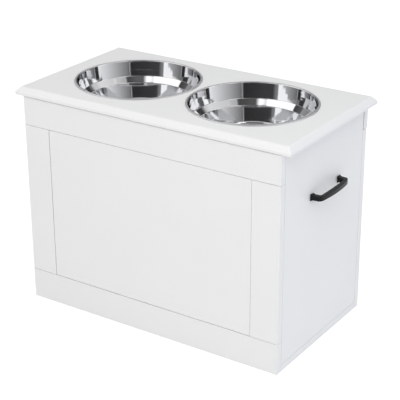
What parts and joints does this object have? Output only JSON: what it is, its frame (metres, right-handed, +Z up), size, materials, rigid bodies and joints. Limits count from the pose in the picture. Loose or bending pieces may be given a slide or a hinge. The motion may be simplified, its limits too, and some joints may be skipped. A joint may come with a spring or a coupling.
{
  "type": "elevated dog feeder with storage",
  "caption": "Board cabinet with a framed front, side pull handles and a hinged lid that holds lift-out steel feeding bowls at eating height.",
  "frame": {"origin": "on the floor, at the centre of the overall plan outline (lid front to hinge barrels, handle to handle)", "axes": "+X to the right seen from the front, +Y to the back, +Z up"},
  "size_m": [0.614, 0.3291, 0.4423],
  "materials": {
    "painted_board": "smooth satin white paint on fibreboard",
    "polished_steel": "polished stainless steel",
    "black_metal": "satin black powder coat",
    "plated_steel": "zinc plated",
    "zinc": "die-cast",
    "beech": "fluted beech dowel",
    "bumper_rubber": "soft pale rubber"
  },
  "bodies": {
    "cabinet": {"bottom_board": "painted_board", "left_side_panel": "painted_board", "right_side_panel": "painted_board", "front_top_rail": "painted_board", "front_bottom_rail": "painted_board", "front_left_stile": "painted_board", "front_right_stile": "painted_board", "front_panel": "painted_board", "back_panel": "painted_board", "back_top_rail": "painted_board", "dowels": "beech", "cam_nuts": "zinc", "cam_bolts": "plated_steel", "base_screws": "plated_steel", "left_handle": "black_metal", "right_handle": "black_metal", "handle_screws": "plated_steel", "left_hinge_cabinet_leaf": "plated_steel", "right_hinge_cabinet_leaf": "plated_steel", "left_hinge_pin": "plated_steel", "right_hinge_pin": "plated_steel", "cabinet_hinge_screws": "plated_steel", "left_stay_pin": "plated_steel", "right_stay_pin": "plated_steel"},
    "lid": {"lid_board": "painted_board", "lid_bumpers": "bumper_rubber", "left_hinge_lid_leaf": "plated_steel", "right_hinge_lid_leaf": "plated_steel", "lid_hinge_screws": "plated_steel", "left_stay_bracket": "plated_steel", "right_stay_bracket": "plated_steel", "stay_bracket_screws": "plated_steel", "stay_rivets": "plated_steel"},
    "left_bowl_body": {"left_bowl": "polished_steel"},
    "right_bowl_body": {"right_bowl": "polished_steel"},
    "left_stay": {"left_stay_arm": "plated_steel"},
    "right_stay": {"right_stay_arm": "plated_steel"}
  },
  "joints": [
    {"name": "lid_hinge", "type": "hinge", "parent": "cabinet", "child": "lid", "pos_m": [0, 0.16155, 0.4219], "axis": [-1, 0, 0], "range_deg": [0, 95]},
    {"name": "left_stay_swing", "type": "hinge", "parent": "lid", "child": "left_stay", "pos_m": [-0.261, 0.04182, 0.4139], "axis": [-1, 0, 0], "range_deg": [-47.5, 0]},
    {"name": "right_stay_swing", "type": "hinge", "parent": "lid", "child": "right_stay", "pos_m": [0.261, 0.04182, 0.4139], "axis": [-1, 0, 0], "range_deg": [-47.5, 0]},
    {"name": "left_bowl_lift", "type": "slide", "parent": "lid", "child": "left_bowl_body", "axis": [0, 0, 1], "range_m": [0, 0.1]},
    {"name": "right_bowl_lift", "type": "slide", "parent": "lid", "child": "right_bowl_body", "axis": [0, 0, 1], "range_m": [0, 0.1]}
  ],
  "couplings": [
    {"joint": "left_stay_swing", "follows": "lid_hinge", "ratio": -0.5},
    {"joint": "right_stay_swing", "follows": "lid_hinge", "ratio": -0.5}
  ]
}
